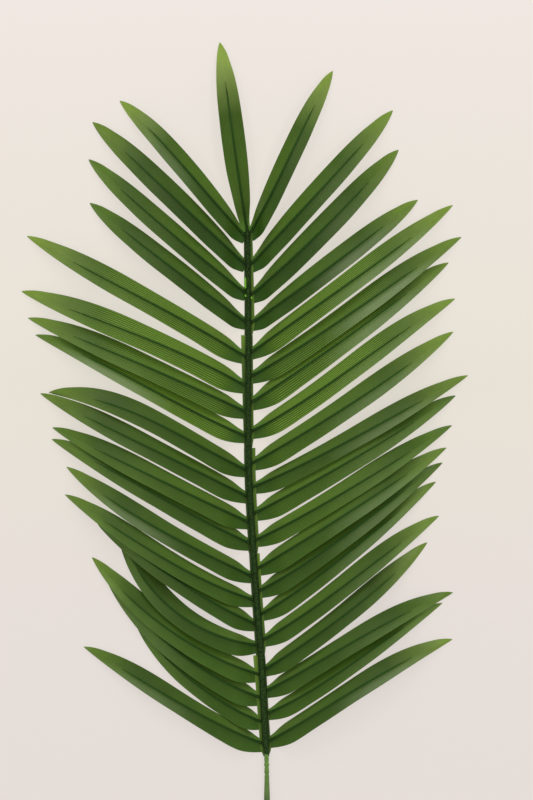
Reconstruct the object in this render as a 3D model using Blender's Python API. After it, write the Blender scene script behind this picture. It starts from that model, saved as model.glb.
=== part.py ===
"""Artificial areca palm leaf, laid flat with its face up.

Five pressed fabric panels, each a strip with leaflets cut from one sheet, lie under five moulded
sleeves. A rib runs out of the sleeve along the fold of every leaflet. A plastic-coated wire stem
passes through the sleeves. The leaf's length runs along +Y and its face looks along +Z. The
origin is on the underside of the strip, on the midrib, at the lower end of the blade.
"""

import math
from collections import namedtuple

import bmesh
import bpy

# Driving dimensions. Lengths are in millimetres and MM turns them into metres.
MM = 0.001
FABRIC = 0.7              # thickness of a leaflet
STRIP_THICK = 0.8         # thickness of the strip that the leaflets share
GAP = 0.3                 # clearance between the plastic and the fabric or the stem
LEAFLET_FLOOR = 0.02      # underside of the terminal leaflet's root above the strip's underside
SIDE_FLOOR = 0.03         # how much higher the right leaflets' roots are, and the left's again
FOLD = 3.2                # height of the folded rib line above a leaflet's edges
TWIST = 1.8               # how far the edge nearer the stem is raised, and the other lowered
FOLD_LEFT = 0.15          # share of the fold that is left at a leaflet's tip
TIP_HALF = 0.35           # half the width of a leaflet's blunt point
RIB_REACH = 0.78          # where along a leaflet its rib ends
RIB_ROOT = (2.5, 2.0)     # width and height of a rib where it leaves the sleeve
RIB_END = (0.4, 0.3)      # width and height of a rib at its point
RIB_FULL = (1.0, 0.6)     # the same, if the rib tapered evenly and had no point
RIB_CREST = 0.28          # half the width of a rib's flat top, over the rib's width
RIB_SUNK = 2.3            # distance from the midrib at which a rib starts, in the sleeve's wall
SLEEVE_HALF = (3.7, 2.65)  # half width of the sleeves at the blade's lower end and at its top
SLEEVE_RISE = 1.95        # height of a sleeve over its half width
SLEEVE_ROUND = 0.75       # how square a sleeve's section is: 1 is half an ellipse
SLEEVE_NOSE = 2.75        # half width of the lowest sleeve's tapered nose
NOSE_LENGTH = 9.0
STEM_AXIS = 4.0           # height of the stem's centre inside the sleeves
STEM_INSIDE = (1.9, 1.5)  # radius of the stem at the blade's lower end and at its top
STEM_OUTSIDE = 2.8        # radius of the bare stem at its cut end
STEM_NECK = 2.15          # radius of the bare stem just below the blade
NECK_LENGTH = 22.0        # length of the knobbly neck
NECK_WIDENS = (16.0, 42.0)  # how far below the blade the stem starts and stops growing thicker
KNOB = 0.22               # height of the knobs on the neck
KNOB_PITCH = 7.0          # distance from one knob to the next
KNOBS_FADE = 8.0          # the end of the neck over which the knobs die out
WIRE = 0.9                # radius of the steel core
STEM_SIDES = 12
SLEEVE_SIDES = 12
WIRE_SIDES = 8

BLADE_FOOT = -4.0         # lower end of the lowest strip and sleeve
BLADE_TOP = 489.0         # root of the leaflet at the leaf's tip
STEM_FOOT = -200.0        # cut end of the stem
STEM_TOP = 478.0          # upper end of the stem, inside the top sleeve
WIRE_TOP = 470.0
JOINTS = (392.0, 286.0, 187.0, 91.0)   # where one sleeve ends and the next begins
JOINT_GAP = 0.5

# How far apart the sections lie that each long piece is drawn through.
STRIP_PITCH = 16.0
SLEEVE_PITCH = 20.0
STEM_PITCH = 24.0
NECK_PITCH = 2.3

# Route of the midrib seen from above: distance up the leaf, then sideways.
MIDRIB = ((-205, 1), (-60, 0.5), (-5, 0), (35, -2), (83, -4.5), (147, -9.5), (200, -13),
          (252, -16), (300, -17), (360, -17), (420, -17), (500, -18))

# Strip of each panel: how far it reaches left and right of the midrib, at its top and its foot.
STRIPS = (((4.2, 5.0), (4.2, 5.0)),
          ((7.0, 3.4), (5.2, 5.4)),
          ((4.6, 6.4), (5.2, 5.2)),
          ((5.2, 5.2), (5.2, 5.2)),
          ((7.6, 3.6), (5.0, 5.2)))

# A leaflet: its root up the midrib, its tip's reach sideways and climb up the leaf, the bow of
# its line to the leaf's tip and how much sooner that bow comes, its width, the height of its
# arch, and how even the arch is (a small number peaks near the midrib).
Leaflet = namedtuple("Leaflet", "root reach climb bow early width arch even", defaults=(0.85,))

LEFT = (
    Leaflet(483, 120, 129, 1.5, -2.5, 20, 20), Leaflet(457, 146, 135, -0.5, -1, 22, 20),
    Leaflet(430, 150, 127, -3, 0, 21, 19), Leaflet(403, 149, 113, -2, 0, 21, 18),
    Leaflet(370, 208, 115, 1, 2.5, 22, 22), Leaflet(343, 213, 90, 4.5, 2, 24, 22),
    Leaflet(319, 207, 89, 2, 0, 22, 20), Leaflet(296, 200, 96, 1.5, -4, 21, 15),
    Leaflet(264, 188, 74, 11, -7, 21.5, 24), Leaflet(239, 197, 98, 0.5, 1, 21, 23),
    Leaflet(215, 187, 90, 0, 0, 21.5, 24), Leaflet(195, 189, 99, 0, -2, 22, 20),
    Leaflet(164, 177, 104, -5.5, 2, 20.5, 22), Leaflet(142, 180, 100, -6, -3, 20, 22.5),
    Leaflet(119, 151, 95, -4, -1, 20.5, 17), Leaflet(100, 134, 107, -24, 0, 22, 14, 0.65),
    Leaflet(72, 160, 111, -14, 0, 22, 10.5, 0.5), Leaflet(50, 149, 116, -14, 0, 23, 5.8, 0.5),
    Leaflet(27, 120, 91, -9, 0, 21, 2.8, 0.5), Leaflet(7, 171, 92, -3, -3, 20, 7))
RIGHT = (
    Leaflet(484, 80, 156, -1, -2, 19.5, 20), Leaflet(456, 136, 147, -1.5, 0, 21.5, 20),
    Leaflet(428, 141, 138, -4, -1, 23, 20), Leaflet(402, 159, 117, -2, -1, 21.5, 21),
    Leaflet(374, 192, 140, -2, 1, 21.5, 24), Leaflet(352, 200, 132, -2.5, -2.5, 22.5, 21),
    Leaflet(327, 188, 133, -2, -1, 24, 18), Leaflet(300, 194, 126, -1.5, -5, 22, 19),
    Leaflet(270, 192, 125, -4, 0, 22, 20), Leaflet(248, 205, 106, -2.5, -2, 20, 20),
    Leaflet(223, 192, 112, -2.5, 0, 22.5, 19), Leaflet(198, 187, 109, -2.5, -1, 20.5, 21.5),
    Leaflet(171, 180, 115, -1, 0, 22, 22), Leaflet(150, 175, 122, -3, -2.5, 21, 17.5),
    Leaflet(128, 167, 126, -3, -2.5, 20, 13), Leaflet(104, 168, 118, -1.5, -3, 20.5, 15),
    Leaflet(76, 155, 121, -5, 1.5, 20.5, 15), Leaflet(56, 178, 94, 4, -3, 20.5, 16),
    Leaflet(35, 167, 105, -2, -4, 19, 12), Leaflet(9, 175, 97, 4, -3.5, 20.5, 13))
TERMINAL = Leaflet(489, 26, 178, -0.5, -0.5, 21.5, 16)
TOP_PAIRS = 4             # the upper pairs, whose leaflets widen slowly from the root
PAIRS_PER_PANEL = 4
STRIP_FOOT = 0.5          # how narrow the lowest strip gets at its lower end
STRIP_FOOT_LONG = 14.0    # the length over which it narrows

FLAT_ROOT = 6.5           # how far from the midrib a leaflet stays flat
# Places along a leaflet, as shares of its length beyond the flat root. Its rib ends at one.
STATIONS = (0.0, 0.04, 0.09, 0.17, 0.28, 0.4, 0.53, 0.66, 0.78, 0.87, 0.94, 1.0)
# The shares of its reach over which a leaflet's arch, fold and twist set in and die out again.
ARCH_STARTS = 0.05
FOLD_STARTS = 0.1
FOLD_FADES = 0.6
TWIST_STARTS = 0.08
TWIST_FADES = 0.7

# Half width of a leaflet at shares of its length, over half its width: first on the side of the
# leaf's tip, then on the side of the stem. The rib line is not in the middle: it starts near the
# upper edge, where the neck is, and ends near the lower one.
BROAD = (((0.0, 0.3), (0.05, 0.39), (0.1, 0.6), (0.15, 0.7), (0.22, 0.77), (0.32, 0.85),
          (0.45, 0.96), (0.6, 1.08), (0.72, 1.06), (0.82, 0.9), (0.9, 0.64), (0.95, 0.43), (1.0, 0.03)),
         ((0.0, 0.6), (0.05, 0.98), (0.1, 1.19), (0.15, 1.2), (0.22, 1.13), (0.32, 1.07),
          (0.45, 0.98), (0.6, 0.9), (0.72, 0.75), (0.82, 0.57), (0.9, 0.38), (0.95, 0.23), (1.0, 0.03)))
SLENDER = (((0.0, 0.3), (0.05, 0.32), (0.1, 0.46), (0.15, 0.64), (0.22, 0.79), (0.32, 0.93),
            (0.45, 1.02), (0.6, 1.03), (0.72, 0.98), (0.82, 0.84), (0.9, 0.61), (0.95, 0.42), (1.0, 0.03)),
           ((0.0, 0.7), (0.05, 1.06), (0.1, 1.1), (0.15, 1.1), (0.22, 1.1), (0.32, 1.05),
            (0.45, 1.0), (0.6, 0.96), (0.72, 0.85), (0.82, 0.72), (0.9, 0.52), (0.95, 0.33), (1.0, 0.03)))
# The leaflet at the leaf's tip has a narrow neck on both sides.
TIP_LEAFLET = (SLENDER[0],
               ((0.0, 0.4), (0.05, 0.56), (0.1, 0.68), (0.15, 0.77), (0.22, 0.87), (0.32, 1.0),
                (0.45, 1.03), (0.6, 0.98), (0.72, 0.9), (0.82, 0.74), (0.9, 0.53), (0.95, 0.34), (1.0, 0.03)))
# The lowest leaflet on the left bulges at its root on the side of the stem.
FOOT_LEAFLET = (BROAD[0],
                ((0.0, 0.75), (0.05, 1.15), (0.1, 1.4), (0.15, 1.42), (0.22, 1.32), (0.32, 1.18),
                 (0.45, 1.03), (0.6, 0.91), (0.72, 0.75), (0.82, 0.57), (0.9, 0.38), (0.95, 0.23), (1.0, 0.03)))


def material(name, colour, roughness, metallic=0.0):
    """Make a Principled material from an sRGB hex colour."""
    made = bpy.data.materials.new(name)
    made.use_nodes = True
    shader = made.node_tree.nodes["Principled BSDF"]
    parts = [int(colour[i:i + 2], 16) / 255 for i in (1, 3, 5)]
    linear = [c / 12.92 if c <= 0.04045 else ((c + 0.055) / 1.055) ** 2.4 for c in parts]
    shader.inputs["Base Color"].default_value = (*linear, 1.0)
    shader.inputs["Roughness"].default_value = roughness
    shader.inputs["Metallic"].default_value = metallic
    made.diffuse_color = (*linear, 1.0)
    return made


def add_object(name, verts, faces, finish):
    """Make a mesh object from points in millimetres."""
    mesh = bpy.data.meshes.new(name)
    mesh.from_pydata([(x * MM, y * MM, z * MM) for x, y, z in verts], [], faces)
    mesh.materials.append(finish)
    shape = bmesh.new()
    shape.from_mesh(mesh)
    bmesh.ops.recalc_face_normals(shape, faces=shape.faces)
    shape.to_mesh(mesh)
    shape.free()
    made = bpy.data.objects.new(name, mesh)
    bpy.context.scene.collection.objects.link(made)
    return made


def smooth(value):
    """Ease from 0 to 1 as the value goes from 0 to 1."""
    value = min(max(value, 0.0), 1.0)
    return value * value * (3 - 2 * value)


def curve(points, at):
    """Value at a place on a smooth curve through (place, value) points."""
    last = len(points) - 2
    i = 0
    while i < last and at > points[i + 1][0]:
        i += 1
    before = points[max(i - 1, 0)]
    (place1, value1), (place2, value2) = points[i], points[i + 1]
    after = points[min(i + 2, last + 1)]
    span = place2 - place1
    slope1 = (value2 - before[1]) / (place2 - before[0]) * span
    slope2 = (after[1] - value1) / (after[0] - place1) * span
    t = (at - place1) / span
    return ((2 * t ** 3 - 3 * t ** 2 + 1) * value1 + (t ** 3 - 2 * t ** 2 + t) * slope1
            + (3 * t ** 2 - 2 * t ** 3) * value2 + (t ** 3 - t ** 2) * slope2)


def midrib_x(y):
    """Sideways place of the midrib at a distance up the leaf."""
    return curve(MIDRIB, y)


def up_the_leaf(y, foot_value, top_value):
    """A size that changes evenly from the blade's lower end to its top."""
    share = min(max(y / BLADE_TOP, 0.0), 1.0)
    return foot_value + (top_value - foot_value) * share


def rib_line(leaf, side, t):
    """Point of a leaflet's rib line in plan."""
    start_x = midrib_x(leaf.root)
    length = math.hypot(leaf.reach, leaf.climb)
    along_x = side * leaf.reach / length
    along_y = leaf.climb / length
    bow = 4 * t * (1 - t) * (leaf.bow + leaf.early * (1 - 2 * t))
    x = start_x + along_x * length * t - side * along_y * bow
    y = leaf.root + along_y * length * t + side * along_x * bow
    return x, y


def across(leaf, side, t):
    """Unit direction in plan, square to the rib line, towards the leaf's tip."""
    step = 0.01
    x1, y1 = rib_line(leaf, side, max(t - step, 0))
    x2, y2 = rib_line(leaf, side, min(t + step, 1))
    length = math.hypot(x2 - x1, y2 - y1)
    return -side * (y2 - y1) / length, side * (x2 - x1) / length


def out_distance(leaf, side, x, y):
    """How far a point in plan is from the midrib, or beyond its end."""
    return y - leaf.root if leaf is TERMINAL else side * (x - midrib_x(y))


def share_at(leaf, side, distance):
    """Share of a leaflet's length at which its rib line is this far out."""
    low, high = 0.0, 0.2
    while high - low > 0.00001:
        middle = (low + high) / 2
        if out_distance(leaf, side, *rib_line(leaf, side, middle)) < distance:
            low = middle
        else:
            high = middle
    return low


def station_share(leaf, side, station):
    """Share of a leaflet's length at a place beyond its flat root."""
    start = share_at(leaf, side, FLAT_ROOT)
    return start + (1 - start) * station


def leaflet_height(leaf, side, x, y, place):
    """Underside of a leaflet: place is 0 on the rib, 1 on the edge towards the leaf's tip."""
    floor = LEAFLET_FLOOR
    most = leaf.climb
    if leaf is not TERMINAL:
        floor += SIDE_FLOOR * (1.5 - side / 2)
        most = leaf.reach
    u = (out_distance(leaf, side, x, y) - FLAT_ROOT) / (most - FLAT_ROOT)
    u = min(max(u, 0.0), 1.0)
    arch = leaf.arch * math.sin(math.pi * u ** leaf.even) * smooth(u / ARCH_STARTS)
    fold_dies = (1 - FOLD_LEFT) * smooth((u - FOLD_FADES) / (1 - FOLD_FADES))
    fold = FOLD * smooth(u / FOLD_STARTS) * (1 - fold_dies)
    twist_dies = smooth((u - TWIST_FADES) / (1 - TWIST_FADES))
    twist = TWIST * smooth(u / TWIST_STARTS) * (1 - twist_dies)
    return max(floor + arch + fold * (1 - abs(place)) - twist * place, floor)


def leaflet_point(leaf, side, slender, t, place):
    """Point on the underside of a leaflet."""
    x, y = rib_line(leaf, side, t)
    over_x, over_y = across(leaf, side, t)
    outline = SLENDER if slender else BROAD
    if leaf is TERMINAL:
        outline = TIP_LEAFLET
    elif leaf is LEFT[-1]:
        outline = FOOT_LEAFLET
    share = curve(outline[0 if place > 0 else 1], t)
    reach = max(share * leaf.width / 2, TIP_HALF) * place
    x += over_x * reach
    y += over_y * reach
    return x, y, leaflet_height(leaf, side, x, y, place)


def grid_solid(rows, thick):
    """Points and triangles of a thin body under and over a grid, split alike on both faces."""
    wide = len(rows[0])
    low = [point for row in rows for point in row]
    high = [(x, y, z + thick) for x, y, z in low]
    lift = len(low)
    faces = []
    for i in range(len(rows) - 1):
        for j in range(wide - 1):
            a = i * wide + j
            b, c, d = a + 1, a + wide + 1, a + wide
            for triangle in ((a, b, c), (a, c, d)):
                faces.append(triangle)
                faces.append(tuple(v + lift for v in reversed(triangle)))
    count = len(rows)
    border = [j for j in range(wide)]
    border += [i * wide + wide - 1 for i in range(1, count)]
    border += [(count - 1) * wide + j for j in range(wide - 2, -1, -1)]
    border += [i * wide for i in range(count - 2, 0, -1)]
    for a, b in zip(border, border[1:] + border[:1]):
        faces.append((b, a, a + lift))
        faces.append((b, a + lift, b + lift))
    return low + high, faces


def loft(loops, capped=True):
    """Points and faces of a body whose loops of points follow each other."""
    sides = len(loops[0])
    verts = [point for loop in loops for point in loop]
    faces = []
    for i in range(len(loops) - 1):
        for j in range(sides):
            k = (j + 1) % sides
            faces.append((i * sides + j, i * sides + k, (i + 1) * sides + k, (i + 1) * sides + j))
    if capped:
        faces.append(tuple(range(sides)))
        faces.append(tuple((len(loops) - 1) * sides + j for j in range(sides)))
    return verts, faces


def join(name, pieces):
    """Fuse repeats into the first of them with one Boolean union."""
    first, rest = pieces[0], pieces[1:]
    group = bpy.data.collections.new(name + "_repeats")
    bpy.context.scene.collection.children.link(group)
    for piece in rest:
        bpy.context.scene.collection.objects.unlink(piece)
        group.objects.link(piece)
    union = first.modifiers.new("Union", "BOOLEAN")
    union.operation = "UNION"
    union.operand_type = "COLLECTION"
    union.collection = group
    union.solver = "EXACT"
    bpy.context.view_layer.objects.active = first
    bpy.ops.object.select_all(action="DESELECT")
    first.select_set(True)
    bpy.ops.object.modifier_apply(modifier=union.name)
    for piece in rest:
        bpy.data.objects.remove(piece)
    bpy.data.collections.remove(group)
    first.name = name
    first.data.name = name
    return first


def panel_span(number):
    """Lower and upper end of a panel along the midrib, counted from the leaf's tip."""
    ends = (BLADE_TOP, *JOINTS, BLADE_FOOT)
    return ends[number + 1] + JOINT_GAP / 2 * (number < 4), ends[number] - JOINT_GAP / 2 * (number > 0)


def steps_between(low, high, pitch):
    """Evenly spaced places from low to high, no further apart than about the pitch."""
    count = max(round((high - low) / pitch), 1)
    return [low + (high - low) * i / count for i in range(count + 1)]


def make_strip(number, finish):
    """The flat strip of one panel, under its sleeve."""
    low, high = panel_span(number)
    (top_left, top_right), (foot_left, foot_right) = STRIPS[number]
    places = steps_between(low, high, STRIP_PITCH)
    if number == 4:
        places[1:1] = [low + STRIP_FOOT_LONG * i / 4 for i in (1, 2, 3)]
    rows = []
    for y in places:
        share = (y - low) / (high - low)
        narrow = 1.0
        if number == 4:
            narrow = STRIP_FOOT + (1 - STRIP_FOOT) * smooth((y - low) / STRIP_FOOT_LONG)
        left = (foot_left + (top_left - foot_left) * share) * narrow
        right = (foot_right + (top_right - foot_right) * share) * narrow
        x = midrib_x(y)
        rows.append([(x - left, y, 0.0), (x + right, y, 0.0)])
    verts, faces = grid_solid(rows, STRIP_THICK)
    return add_object(f"strip_{number + 1}", verts, faces, finish)


def panel_leaflets(number):
    """The leaflets of a panel with their side and whether they are slender."""
    first = number * PAIRS_PER_PANEL
    chosen = []
    for pair in range(first, first + PAIRS_PER_PANEL):
        slender = pair < TOP_PAIRS
        chosen.append((LEFT[pair], -1, slender))
        chosen.append((RIGHT[pair], 1, slender))
    if number == 0:
        chosen.append((TERMINAL, -1, True))
    return chosen


def make_panel(number, finish):
    """One pressed fabric panel: a strip with its leaflets."""
    pieces = [make_strip(number, finish)]
    for leaf, side, slender in panel_leaflets(number):
        shares = [0.0, share_at(leaf, side, FLAT_ROOT / 2)]
        shares += [station_share(leaf, side, station) for station in STATIONS]
        rows = [[leaflet_point(leaf, side, slender, t, place) for place in (-1, 0, 1)]
                for t in shares]
        verts, faces = grid_solid(rows, FABRIC)
        pieces.append(add_object("leaflet", verts, faces, finish))
    return join(f"panel_{number + 1}", pieces)


def sleeve_half(y):
    """Half width of a sleeve, with the tapered nose at the blade's lower end."""
    full = up_the_leaf(y, *SLEEVE_HALF)
    nose = smooth((y - BLADE_FOOT) / NOSE_LENGTH)
    return SLEEVE_NOSE + (full - SLEEVE_NOSE) * nose


def sleeve_loop(y):
    """Section of a sleeve: flat below, round above."""
    half = sleeve_half(y)
    base = STRIP_THICK + GAP
    tall = half * SLEEVE_RISE
    x = midrib_x(y)
    loop = []
    for i in range(SLEEVE_SIDES):
        angle = math.pi * i / (SLEEVE_SIDES - 1)
        height = base + tall * math.sin(angle) ** SLEEVE_ROUND
        loop.append((x + half * math.cos(angle), y, height))
    return loop


def ring(y, height, radius, sides):
    """A circle of points round the stem's route."""
    x = midrib_x(y)
    turn = 2 * math.pi / sides
    return [(x + radius * math.cos(turn * i), y, height + radius * math.sin(turn * i))
            for i in range(sides)]


def stem_radius(y):
    """Radius of the plastic coat, thinner inside the sleeves and knobbly just below them."""
    if y > BLADE_FOOT - 1:
        return up_the_leaf(y, *STEM_INSIDE)
    below = BLADE_FOOT - y
    start, end = NECK_WIDENS
    body = STEM_NECK + (STEM_OUTSIDE - STEM_NECK) * smooth((below - start) / (end - start))
    knob = KNOB * math.sin(2 * math.pi * below / KNOB_PITCH)
    return body + knob * (1 - smooth((below - NECK_LENGTH) / KNOBS_FADE + 1))


def stem_height(y):
    """Height of the stem's centre: level in the sleeves, then down to the surface."""
    share = smooth((BLADE_FOOT - y) / (BLADE_FOOT - STEM_FOOT))
    return STEM_AXIS + (STEM_OUTSIDE - STEM_AXIS) * share


def make_sleeve(number, finish):
    """A moulded sleeve: a tube round the stem, closed at the leaf's tip."""
    low, high = panel_span(number)
    places = steps_between(low, high, SLEEVE_PITCH)
    if number == 4:
        places[1:1] = [low + NOSE_LENGTH / 2, low + NOSE_LENGTH]
    outer = [sleeve_loop(y) for y in places]
    closed = number == 0
    inner_top = STEM_TOP + GAP if closed else high
    inner = [ring(y, STEM_AXIS, up_the_leaf(y, *STEM_INSIDE) + GAP, SLEEVE_SIDES)
             for y in steps_between(low, inner_top, SLEEVE_PITCH)]
    verts, faces = loft(outer, capped=False)
    more, inside = loft(inner, capped=False)
    shift = len(verts)
    faces += [tuple(reversed([v + shift for v in face])) for face in inside]
    last_outer = (len(outer) - 1) * SLEEVE_SIDES
    last_inner = shift + (len(inner) - 1) * SLEEVE_SIDES
    for j in range(SLEEVE_SIDES):
        k = (j + 1) % SLEEVE_SIDES
        faces.append((j, k, shift + k, shift + j))
        if not closed:
            faces.append((last_outer + j, last_outer + k, last_inner + k, last_inner + j))
    if closed:
        faces.append(tuple(last_outer + j for j in range(SLEEVE_SIDES)))
        faces.append(tuple(last_inner + j for j in range(SLEEVE_SIDES)))
    return add_object(f"sleeve_{number + 1}", verts + more, faces, finish)


def fabric_rise(leaf, side, slender, t, wide):
    """How far the fabric within a rib's width rises above the rib line."""
    x, y, middle = leaflet_point(leaf, side, slender, t, 0)
    rise = 0.0
    for place in (-1, 1):
        edge_x, edge_y, edge = leaflet_point(leaf, side, slender, t, place)
        share = wide / 2 / math.hypot(edge_x - x, edge_y - y)
        rise = max(rise, (edge - middle) * share)
    return rise


def make_rib(leaf, side, slender, finish):
    """A rib along the fold of a leaflet, from inside the sleeve's wall to a point."""
    start = 0.0 if leaf is TERMINAL else share_at(leaf, side, RIB_SUNK)
    shares = [start]
    shares += [station_share(leaf, side, place) for place in STATIONS if place <= RIB_REACH]
    sizes = []
    for t in shares:
        share = (t - start) / (shares[-1] - start)
        sizes.append([full + (end - full) * share for full, end in zip(RIB_ROOT, RIB_FULL)])
    sizes[-1] = RIB_END
    rises = [fabric_rise(leaf, side, slender, t, size[0]) for t, size in zip(shares, sizes)]
    loops = []
    for i, (t, (wide, tall)) in enumerate(zip(shares, sizes)):
        x, y, middle = leaflet_point(leaf, side, slender, t, 0)
        rise = max(rises[max(i - 1, 0):i + 2])
        base = max(middle + rise + FABRIC, STRIP_THICK) + GAP
        over_x, over_y = across(leaf, side, t)
        loop = []
        for place, height in ((-0.5, 0), (0.5, 0), (RIB_CREST, tall), (-RIB_CREST, tall)):
            loop.append((x + over_x * wide * place, y + over_y * wide * place, base + height))
        loops.append(loop)
    verts, faces = loft(loops)
    return add_object("rib", verts, faces, finish)


def make_ribs(number, finish):
    """One moulding: a sleeve with the ribs of its panel."""
    pieces = [make_sleeve(number, finish)]
    for leaf, side, slender in panel_leaflets(number):
        pieces.append(make_rib(leaf, side, slender, finish))
    return join(f"ribs_{number + 1}", pieces)


def stem_places(top):
    """Places along the stem, closer together where it is knobbly."""
    neck = steps_between(BLADE_FOOT - NECK_LENGTH, BLADE_FOOT - 1.2, NECK_PITCH)
    bare = steps_between(STEM_FOOT, BLADE_FOOT - NECK_LENGTH, STEM_PITCH)[:-1]
    inside = steps_between(BLADE_FOOT - 0.8, top, STEM_PITCH)
    return bare + neck + inside


def make_stem(finish):
    """The plastic coat, open at the cut end where the steel core shows."""
    outer = [ring(y, stem_height(y), stem_radius(y), STEM_SIDES) for y in stem_places(STEM_TOP)]
    inner = [ring(y, stem_height(y), WIRE + GAP, WIRE_SIDES)
             for y in steps_between(STEM_FOOT, WIRE_TOP + GAP, STEM_PITCH)]
    coat_verts, coat_faces = loft(outer)
    coat = add_object("stem", coat_verts, coat_faces, finish)
    foot = [(x, y - 1, z) for x, y, z in inner[0]]
    bore_verts, bore_faces = loft([foot] + inner)
    bore = add_object("stem_bore", bore_verts, bore_faces, finish)
    bore.hide_render = True
    bore.display_type = "WIRE"
    cut = coat.modifiers.new("Bore", "BOOLEAN")
    cut.operation = "DIFFERENCE"
    cut.object = bore
    cut.solver = "EXACT"
    return coat


def make_wire(finish):
    """The steel core of the stem."""
    loops = [ring(y, stem_height(y), WIRE, WIRE_SIDES)
             for y in steps_between(STEM_FOOT, WIRE_TOP, STEM_PITCH)]
    verts, faces = loft(loops)
    return add_object("wire", verts, faces, finish)


def main():
    for old in list(bpy.data.objects):
        bpy.data.objects.remove(old)
    fabric = material("pressed_fabric", "#476026", 0.5)
    ribbing = material("moulded_ribs", "#25391d", 0.45)
    coat = material("stem_coat", "#688741", 0.4)
    steel = material("steel_core", "#8f9296", 0.35, 1.0)
    for number in range(5):
        make_panel(number, fabric)
        make_ribs(number, ribbing)
    make_stem(coat)
    make_wire(steel)


main()
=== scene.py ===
# %% [markdown]
# # An artificial areca palm leaf
#
# The leaf lies on its back with its face up. It is a made thing: five panels are pressed out of
# dyed polyester fabric, and each is one strip with four pairs of leaflets. Five dark mouldings lie
# on them, each a sleeve over the midrib with a rib for every leaflet. A steel wire in a
# bright green plastic coat runs through all the sleeves and comes out below as the stem.
#
# The imported model gives the real places of all these pieces. This script keeps them there and gives each
# one its fine shape and its finish. The first cell loads that model and prints the names of its parts.

import math
from collections import namedtuple
from functools import partial

import bpy
import numpy as np
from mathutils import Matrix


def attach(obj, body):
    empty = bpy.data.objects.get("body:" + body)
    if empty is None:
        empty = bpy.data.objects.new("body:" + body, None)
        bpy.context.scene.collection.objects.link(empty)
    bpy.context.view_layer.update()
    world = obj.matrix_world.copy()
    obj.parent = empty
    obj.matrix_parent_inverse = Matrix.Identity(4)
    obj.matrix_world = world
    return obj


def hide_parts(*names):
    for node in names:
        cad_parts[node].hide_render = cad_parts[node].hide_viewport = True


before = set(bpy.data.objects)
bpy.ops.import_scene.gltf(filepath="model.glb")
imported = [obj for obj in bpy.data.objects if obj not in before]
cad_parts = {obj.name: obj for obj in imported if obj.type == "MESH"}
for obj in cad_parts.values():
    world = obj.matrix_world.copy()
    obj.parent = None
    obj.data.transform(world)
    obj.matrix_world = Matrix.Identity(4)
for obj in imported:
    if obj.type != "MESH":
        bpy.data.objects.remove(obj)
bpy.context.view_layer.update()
MM = 0.001
print("nodes", sorted(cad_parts))

# %% [markdown]
# ## Colours and nodes
#
# Colours are written as the hex values that an eye or a colour picker reads from a screen, which
# are sRGB. Blender's shaders add up light, so they want linear numbers, and one function turns
# the first into the second. A material is a graph of nodes. One more function adds any node, sets it
# up, joins it to others and gives back one of its outputs, which the next node takes in. With these,
# a material reads as a list of what it does.

# %% Colour and node helpers
# A Mix node for colours takes the share of the second colour in input 0, and the two in 6 and 7.
COLOUR_MIX = {"data_type": "RGBA", "output": 2}


def linear(colour):
    """Linear RGBA numbers of an sRGB hex colour."""
    parts = [int(colour[i:i + 2], 16) / 255 for i in (1, 3, 5)]
    return (*[c / 12.92 if c <= 0.04045 else ((c + 0.055) / 1.055) ** 2.4 for c in parts], 1.0)


def set_inputs(tree, node, inputs):
    """Set inputs of a node, each to a value or to another node's output."""
    for name, value in inputs.items():
        if isinstance(value, bpy.types.NodeSocket):
            tree.links.new(value, node.inputs[name])
        else:
            node.inputs[name].default_value = value


def add_node(tree, kind, inputs=None, output=0, stops=(), **settings):
    """Add a node and give back an output. A colour ramp also takes (place, hex colour) stops."""
    node = tree.nodes.new("ShaderNode" + kind)
    for name, value in settings.items():
        setattr(node, name, value)
    set_inputs(tree, node, inputs or {})
    if stops:
        elements = node.color_ramp.elements
        while len(elements) < len(stops):
            elements.new(0.5)
        for element, (place, colour) in zip(elements, stops):
            element.position = place
            element.color = linear(colour)
    return node.outputs[output]


def new_material(name):
    """A material with its node tree and its Principled shader."""
    made = bpy.data.materials.new(name)
    made.use_nodes = True
    return made, made.node_tree, made.node_tree.nodes["Principled BSDF"]


print("white is", linear("#ffffff")[:3])

# %% [markdown]
# ## Camera
#
# The photograph looks straight at the leaf's face from far away. The leaf lies on its back here,
# so the camera hangs above it and looks down. A long lens from four metres keeps the lines almost
# parallel, as in the photograph. One pixel of the photograph is 0.94 mm on the leaf, and that gives
# the height of the view. The picture's top points along +Y, which is up the leaf.

# %% Camera
PIXEL = 0.94 * MM  # size of one pixel of the photograph on the leaf
VIEW_TALL = 800 * PIXEL
VIEW_CENTRE = (0.0, 0.331)  # where the middle of the photograph lies, along X and Y
CAMERA_HEIGHT = 4.0  # in metres
SENSOR = 36.0


def add_object(name, data):
    """An object with this data, put in the scene."""
    made = bpy.data.objects.new(name, data)
    bpy.context.scene.collection.objects.link(made)
    return made


camera_data = bpy.data.cameras.new("camera")
camera_data.sensor_width = SENSOR
camera_data.lens = SENSOR * CAMERA_HEIGHT / VIEW_TALL
camera_data.dof.use_dof = False
camera = add_object("camera", camera_data)
camera.location = (*VIEW_CENTRE, CAMERA_HEIGHT)
bpy.context.scene.camera = camera
print("lens", round(camera_data.lens), "mm")

# %% [markdown]
# ## A floor that glows
#
# The photograph has almost no shadows, because the light comes from all sides. A leaf that lies on
# a floor would shade it, so the floor is a pale light table: matt, and glowing a little from below.
# A plain floor with brighter lamps could be as pale, but not as free of shadows. The glow is
# pinkish at both ends and creamier halfway up the leaf.

# %% Floor
FLOOR_HALF = 6.0  # in metres
FLOOR_DROP = 0.1  # the floor lies this far below the leaf, in mm
TABLE_GLOW = 0.7
GLOW_UP_THE_LEAF = ((0.0, "#f2eae5"), (0.15, "#f3ebe5"), (0.35, "#f5efe2"), (0.55, "#f9f2e9"),
                    (0.75, "#fff6f1"))


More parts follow.
